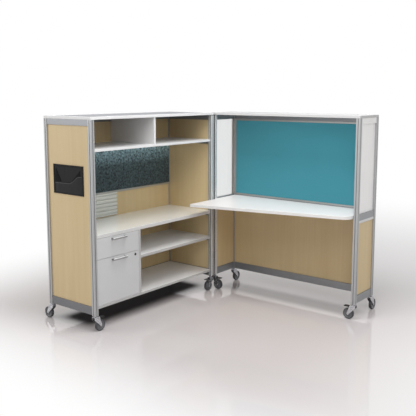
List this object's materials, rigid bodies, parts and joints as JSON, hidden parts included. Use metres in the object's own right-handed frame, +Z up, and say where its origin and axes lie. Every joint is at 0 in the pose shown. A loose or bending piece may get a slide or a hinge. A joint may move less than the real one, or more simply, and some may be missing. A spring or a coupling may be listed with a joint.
{
  "type": "cubicle workstation",
  "caption": "Folding mobile workstation: a storage cabinet with drawers and shelves, hinged at one corner to a desk cabinet, both on swivel casters.",
  "frame": {"origin": "on the floor, at the middle of the open workstation's bounding box", "axes": "+Z up; the desk unit's width lies along +X with its front facing -Y; the storage unit's width lies along Y with its front facing +X"},
  "size_m": [1.7851, 1.653, 1.433],
  "materials": {
    "aluminium_post": "satin anodised, grooved",
    "aluminium_rail": "satin anodised",
    "white_laminate": "gloss laminate",
    "white_board": "satin laminate",
    "grey_board": "matt laminate",
    "maple": "satin veneer",
    "dark_fabric": "mottled weave",
    "teal_fabric": "fine weave",
    "pale_trim": "satin",
    "screen": "translucent, finely streaked",
    "slat_metal": "satin",
    "pocket_cloth": "coated cloth",
    "bracket_steel": "satin",
    "runner_steel": "zinc plated",
    "tray_steel": "powder coated",
    "handle_metal": "satin",
    "lock_black": "satin",
    "lock_steel": "satin",
    "hinge_steel": "satin",
    "pin_steel": "satin",
    "zinc": "bright zinc",
    "wheel_grey": "smoky grey",
    "pedal_black": "gloss"
  },
  "bodies": {
    "storage_unit": {"storage_posts": "aluminium_post", "storage_rails": "aluminium_rail", "storage_top_frame": "white_board", "storage_top_panel": "grey_board", "storage_end_panels": "maple", "storage_back_panel": "maple", "storage_deck": "white_board", "storage_worktop": "white_laminate", "overhead_shelf": "white_board", "overhead_divider": "white_board", "middle_shelf": "white_board", "pedestal_sides": "white_board", "storage_tackboard": "dark_fabric", "tackboard_strip": "pale_trim", "slatwall": "slat_metal", "document_pocket": "pocket_cloth", "shelf_supports": "bracket_steel", "drawer_runners": "runner_steel", "hinge_pin": "pin_steel", "storage_caster_sockets": "zinc"},
    "box_drawer": {"box_drawer_front": "white_board", "box_drawer_tray": "tray_steel", "box_drawer_handle": "handle_metal"},
    "file_drawer": {"file_drawer_front": "white_board", "file_drawer_tray": "tray_steel", "file_drawer_handle": "handle_metal", "lock_barrel": "lock_black"},
    "drawer_lock": {"lock_plug": "lock_steel"},
    "desk_unit": {"hinge_arms": "hinge_steel", "hinge_arm_bolt": "pin_steel", "desk_posts": "aluminium_post", "desk_rails": "aluminium_rail", "desk_unit_top": "white_board", "desk_lower_panels": "maple", "desk_side_screens": "screen", "desk_tackboard": "teal_fabric", "desk_tackboard_frame": "pale_trim", "desk_surface": "white_laminate", "desk_brackets": "bracket_steel", "desk_caster_sockets": "zinc"},
    "storage_front_left_caster": {"storage_front_left_fork": "zinc"},
    "storage_front_left_wheel": {"storage_front_left_wheel": "wheel_grey"},
    "storage_front_left_brake": {"storage_front_left_pedal": "pedal_black"},
    "storage_front_right_caster": {"storage_front_right_fork": "zinc"},
    "storage_front_right_wheel": {"storage_front_right_wheel": "wheel_grey"},
    "storage_front_right_brake": {"storage_front_right_pedal": "pedal_black"},
    "storage_rear_left_caster": {"storage_rear_left_fork": "zinc"},
    "storage_rear_left_wheel": {"storage_rear_left_wheel": "wheel_grey"},
    "storage_rear_right_caster": {"storage_rear_right_fork": "zinc"},
    "storage_rear_right_wheel": {"storage_rear_right_wheel": "wheel_grey"},
    "desk_front_left_caster": {"desk_front_left_fork": "zinc"},
    "desk_front_left_wheel": {"desk_front_left_wheel": "wheel_grey"},
    "desk_front_left_brake": {"desk_front_left_pedal": "pedal_black"},
    "desk_front_right_caster": {"desk_front_right_fork": "zinc"},
    "desk_front_right_wheel": {"desk_front_right_wheel": "wheel_grey"},
    "desk_front_right_brake": {"desk_front_right_pedal": "pedal_black"},
    "desk_rear_left_caster": {"desk_rear_left_fork": "zinc"},
    "desk_rear_left_wheel": {"desk_rear_left_wheel": "wheel_grey"},
    "desk_rear_right_caster": {"desk_rear_right_fork": "zinc"},
    "desk_rear_right_wheel": {"desk_rear_right_wheel": "wheel_grey"}
  },
  "joints": [
    {"name": "fold", "type": "hinge", "parent": "storage_unit", "child": "desk_unit", "pos_m": [-0.36825, 0.4355, 0], "axis": [0, 0, 1], "range_deg": [-90, 0]},
    {"name": "box_drawer_slide", "type": "slide", "parent": "storage_unit", "child": "box_drawer", "axis": [1, 0, 0], "range_m": [0, 0.35]},
    {"name": "file_drawer_slide", "type": "slide", "parent": "storage_unit", "child": "file_drawer", "axis": [1, 0, 0], "range_m": [0, 0.38]},
    {"name": "lock_turn", "type": "hinge", "parent": "file_drawer", "child": "drawer_lock", "pos_m": [-0.35925, -0.4315, 0.462], "axis": [1, 0, 0], "range_deg": [0, 90]},
    {"name": "storage_front_left_swivel", "type": "hinge", "parent": "storage_unit", "child": "storage_front_left_caster", "pos_m": [-0.36825, -0.8085, 0.11], "axis": [0, 0, 1], "continuous": true},
    {"name": "storage_front_left_spin", "type": "hinge", "parent": "storage_front_left_caster", "child": "storage_front_left_wheel", "pos_m": [-0.36825, -0.7705, 0.04], "axis": [-1, 0, 0], "continuous": true},
    {"name": "storage_front_left_brake_press", "type": "hinge", "parent": "storage_front_left_caster", "child": "storage_front_left_brake", "pos_m": [-0.36825, -0.7985, 0.093], "axis": [-1, 0, 0], "range_deg": [0, 12]},
    {"name": "storage_front_right_swivel", "type": "hinge", "parent": "storage_unit", "child": "storage_front_right_caster", "pos_m": [-0.36825, 0.4355, 0.11], "axis": [0, 0, 1], "range_deg": [-90, 90]},
    {"name": "storage_front_right_spin", "type": "hinge", "parent": "storage_front_right_caster", "child": "storage_front_right_wheel", "pos_m": [-0.36825, 0.3975, 0.04], "axis": [1, 0, 0], "continuous": true},
    {"name": "storage_front_right_brake_press", "type": "hinge", "parent": "storage_front_right_caster", "child": "storage_front_right_brake", "pos_m": [-0.36825, 0.4255, 0.093], "axis": [1, 0, 0], "range_deg": [0, 12]},
    {"name": "storage_rear_left_swivel", "type": "hinge", "parent": "storage_unit", "child": "storage_rear_left_caster", "pos_m": [-0.81425, -0.8085, 0.11], "axis": [0, 0, 1], "continuous": true},
    {"name": "storage_rear_left_spin", "type": "hinge", "parent": "storage_rear_left_caster", "child": "storage_rear_left_wheel", "pos_m": [-0.85225, -0.8085, 0.04], "axis": [0, -1, 0], "continuous": true},
    {"name": "storage_rear_right_swivel", "type": "hinge", "parent": "storage_unit", "child": "storage_rear_right_caster", "pos_m": [-0.81425, 0.4355, 0.11], "axis": [0, 0, 1], "continuous": true},
    {"name": "storage_rear_right_spin", "type": "hinge", "parent": "storage_rear_right_caster", "child": "storage_rear_right_wheel", "pos_m": [-0.85225, 0.4355, 0.04], "axis": [0, -1, 0], "continuous": true},
    {"name": "desk_front_left_swivel", "type": "hinge", "parent": "desk_unit", "child": "desk_front_left_caster", "pos_m": [-0.36825, 0.4825, 0.11], "axis": [0, 0, 1], "range_deg": [0, 180]},
    {"name": "desk_front_left_spin", "type": "hinge", "parent": "desk_front_left_caster", "child": "desk_front_left_wheel", "pos_m": [-0.33025, 0.4825, 0.04], "axis": [0, 1, 0], "continuous": true},
    {"name": "desk_front_left_brake_press", "type": "hinge", "parent": "desk_front_left_caster", "child": "desk_front_left_brake", "pos_m": [-0.35825, 0.4825, 0.093], "axis": [0, 1, 0], "range_deg": [0, 12]},
    {"name": "desk_front_right_swivel", "type": "hinge", "parent": "desk_unit", "child": "desk_front_right_caster", "pos_m": [0.87575, 0.4825, 0.11], "axis": [0, 0, -1], "continuous": true},
    {"name": "desk_front_right_spin", "type": "hinge", "parent": "desk_front_right_caster", "child": "desk_front_right_wheel", "pos_m": [0.83775, 0.4825, 0.04], "axis": [0, -1, 0], "continuous": true},
    {"name": "desk_front_right_brake_press", "type": "hinge", "parent": "desk_front_right_caster", "child": "desk_front_right_brake", "pos_m": [0.86575, 0.4825, 0.093], "axis": [0, -1, 0], "range_deg": [0, 12]},
    {"name": "desk_rear_left_swivel", "type": "hinge", "parent": "desk_unit", "child": "desk_rear_left_caster", "pos_m": [-0.36825, 0.7485, 0.11], "axis": [0, 0, 1], "continuous": true},
    {"name": "desk_rear_left_spin", "type": "hinge", "parent": "desk_rear_left_caster", "child": "desk_rear_left_wheel", "pos_m": [-0.36825, 0.7865, 0.04], "axis": [-1, 0, 0], "continuous": true},
    {"name": "desk_rear_right_swivel", "type": "hinge", "parent": "desk_unit", "child": "desk_rear_right_caster", "pos_m": [0.87575, 0.7485, 0.11], "axis": [0, 0, 1], "continuous": true},
    {"name": "desk_rear_right_spin", "type": "hinge", "parent": "desk_rear_right_caster", "child": "desk_rear_right_wheel", "pos_m": [0.87575, 0.7865, 0.04], "axis": [-1, 0, 0], "continuous": true}
  ]
}
